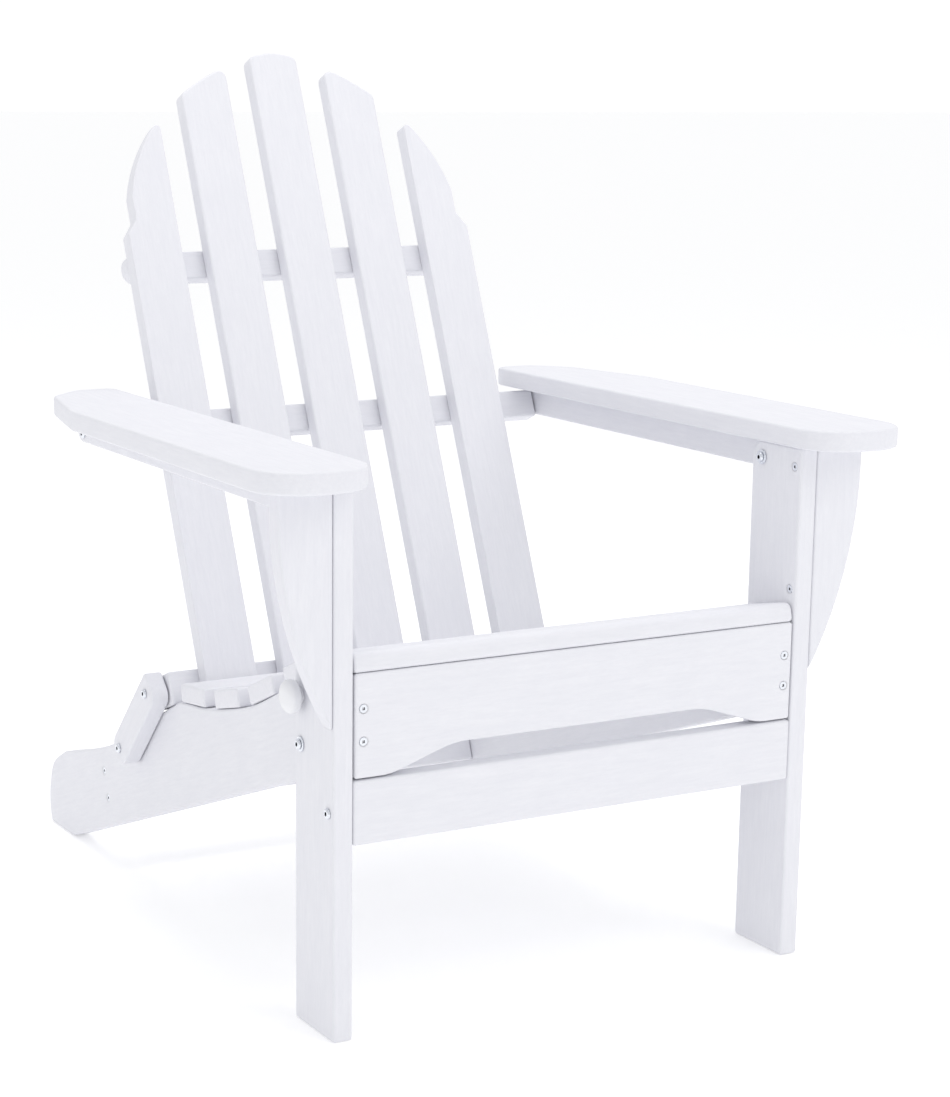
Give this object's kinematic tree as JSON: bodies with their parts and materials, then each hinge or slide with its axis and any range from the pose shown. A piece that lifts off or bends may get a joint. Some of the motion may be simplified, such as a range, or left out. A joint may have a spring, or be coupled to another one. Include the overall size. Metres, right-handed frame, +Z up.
{
  "type": "adirondack chair",
  "caption": "Folding slatted garden armchair with a fan back, wide arms on corbels, a sloping seat and two links that fold its frame flat.",
  "frame": {"origin": "on the floor, under the centre of the bounding box", "axes": "+X towards the sitter's left, +Y to the rear, +Z up"},
  "size_m": [0.751, 0.8981, 0.9622],
  "materials": {
    "seat_rail_left": "white plastic lumber, faint grain",
    "seat_rail_right": "white plastic lumber, faint grain",
    "apron": "white plastic lumber, faint grain",
    "seat_slat_front": "white plastic lumber, faint grain",
    "seat_slat_1": "white plastic lumber, faint grain",
    "seat_slat_2": "white plastic lumber, faint grain",
    "seat_slat_3": "white plastic lumber, faint grain",
    "seat_slat_4": "white plastic lumber, faint grain",
    "rear_cross_brace": "white plastic lumber, faint grain",
    "rail_nut_left": "satin stainless steel",
    "rail_nut_right": "satin stainless steel",
    "link_nut_left": "satin stainless steel",
    "link_nut_right": "satin stainless steel",
    "leg_left": "white plastic lumber, faint grain",
    "leg_right": "white plastic lumber, faint grain",
    "corbel_left": "white plastic lumber, faint grain",
    "corbel_right": "white plastic lumber, faint grain",
    "stretcher": "white plastic lumber, faint grain",
    "stretcher_bolt_left": "satin stainless steel",
    "stretcher_bolt_right": "satin stainless steel",
    "arm_washer_left": "satin stainless steel",
    "arm_washer_right": "satin stainless steel",
    "arm_bolt_left": "satin stainless steel",
    "arm_bolt_right": "satin stainless steel",
    "arm_nut_left": "satin stainless steel",
    "arm_nut_right": "satin stainless steel",
    "rail_washer_left": "satin stainless steel",
    "rail_washer_right": "satin stainless steel",
    "rail_bolt_left": "satin stainless steel",
    "rail_bolt_right": "satin stainless steel",
    "stop_knob_left": "smooth moulded white",
    "stop_knob_right": "smooth moulded white",
    "arm_left": "white plastic lumber, faint grain",
    "arm_right": "white plastic lumber, faint grain",
    "arm_rail_left": "white plastic lumber, faint grain",
    "arm_rail_right": "white plastic lumber, faint grain",
    "back_bolt_left": "satin stainless steel",
    "back_bolt_right": "satin stainless steel",
    "back_slat_1": "white plastic lumber, faint grain",
    "back_slat_2": "white plastic lumber, faint grain",
    "back_slat_3": "white plastic lumber, faint grain",
    "back_slat_4": "white plastic lumber, faint grain",
    "back_slat_5": "white plastic lumber, faint grain",
    "upper_back_brace": "white plastic lumber, faint grain",
    "mid_back_brace": "white plastic lumber, faint grain",
    "lower_back_brace": "white plastic lumber, faint grain",
    "link_left": "white plastic lumber, faint grain",
    "link_foot_bolt_left": "satin stainless steel",
    "link_top_bolt_left": "satin stainless steel",
    "link_right": "white plastic lumber, faint grain",
    "link_foot_bolt_right": "satin stainless steel",
    "link_top_bolt_right": "satin stainless steel"
  },
  "bodies": {
    "seat": {"seat_rail_left": "seat_rail_left", "seat_rail_right": "seat_rail_right", "apron": "apron", "seat_slat_front": "seat_slat_front", "seat_slat_1": "seat_slat_1", "seat_slat_2": "seat_slat_2", "seat_slat_3": "seat_slat_3", "seat_slat_4": "seat_slat_4", "rear_cross_brace": "rear_cross_brace", "rail_nut_left": "rail_nut_left", "rail_nut_right": "rail_nut_right", "link_nut_left": "link_nut_left", "link_nut_right": "link_nut_right"},
    "front_frame": {"leg_left": "leg_left", "leg_right": "leg_right", "corbel_left": "corbel_left", "corbel_right": "corbel_right", "stretcher": "stretcher", "stretcher_bolt_left": "stretcher_bolt_left", "stretcher_bolt_right": "stretcher_bolt_right", "arm_washer_left": "arm_washer_left", "arm_washer_right": "arm_washer_right", "arm_bolt_left": "arm_bolt_left", "arm_bolt_right": "arm_bolt_right", "arm_nut_left": "arm_nut_left", "arm_nut_right": "arm_nut_right", "rail_washer_left": "rail_washer_left", "rail_washer_right": "rail_washer_right", "rail_bolt_left": "rail_bolt_left", "rail_bolt_right": "rail_bolt_right", "stop_knob_left": "stop_knob_left", "stop_knob_right": "stop_knob_right"},
    "arms": {"arm_left": "arm_left", "arm_right": "arm_right", "arm_rail_left": "arm_rail_left", "arm_rail_right": "arm_rail_right", "back_bolt_left": "back_bolt_left", "back_bolt_right": "back_bolt_right"},
    "back": {"back_slat_1": "back_slat_1", "back_slat_2": "back_slat_2", "back_slat_3": "back_slat_3", "back_slat_4": "back_slat_4", "back_slat_5": "back_slat_5", "upper_back_brace": "upper_back_brace", "mid_back_brace": "mid_back_brace", "lower_back_brace": "lower_back_brace"},
    "link_left": {"link_left": "link_left", "link_foot_bolt_left": "link_foot_bolt_left", "link_top_bolt_left": "link_top_bolt_left"},
    "link_right": {"link_right": "link_right", "link_foot_bolt_right": "link_foot_bolt_right", "link_top_bolt_right": "link_top_bolt_right"}
  },
  "joints": [
    {"name": "front_frame_fold", "type": "hinge", "parent": "seat", "child": "front_frame", "pos_m": [0, -0.3265, 0.291], "axis": [1, 0, 0], "range_deg": [0, 72]},
    {"name": "arm_fold", "type": "hinge", "parent": "front_frame", "child": "arms", "pos_m": [0, -0.33, 0.5422], "axis": [1, 0, 0], "range_deg": [-58, 0]},
    {"name": "back_fold", "type": "hinge", "parent": "arms", "child": "back", "pos_m": [0, 0.1818, 0.5367], "axis": [1, 0, 0], "range_deg": [0, 61]},
    {"name": "left_link_fold", "type": "hinge", "parent": "seat", "child": "link_left", "pos_m": [0.2745, 0.15006, 0.1707], "axis": [1, 0, 0], "range_deg": [-50.5, 0]},
    {"name": "right_link_fold", "type": "hinge", "parent": "seat", "child": "link_right", "pos_m": [-0.2745, 0.15006, 0.1707], "axis": [1, 0, 0], "range_deg": [-50.5, 0]}
  ],
  "couplings": [
    {"joint": "arm_fold", "follows": "front_frame_fold", "ratio": -0.797},
    {"joint": "back_fold", "follows": "front_frame_fold", "ratio": 0.839},
    {"joint": "left_link_fold", "follows": "front_frame_fold", "ratio": -0.694},
    {"joint": "right_link_fold", "follows": "front_frame_fold", "ratio": -0.694}
  ]
}
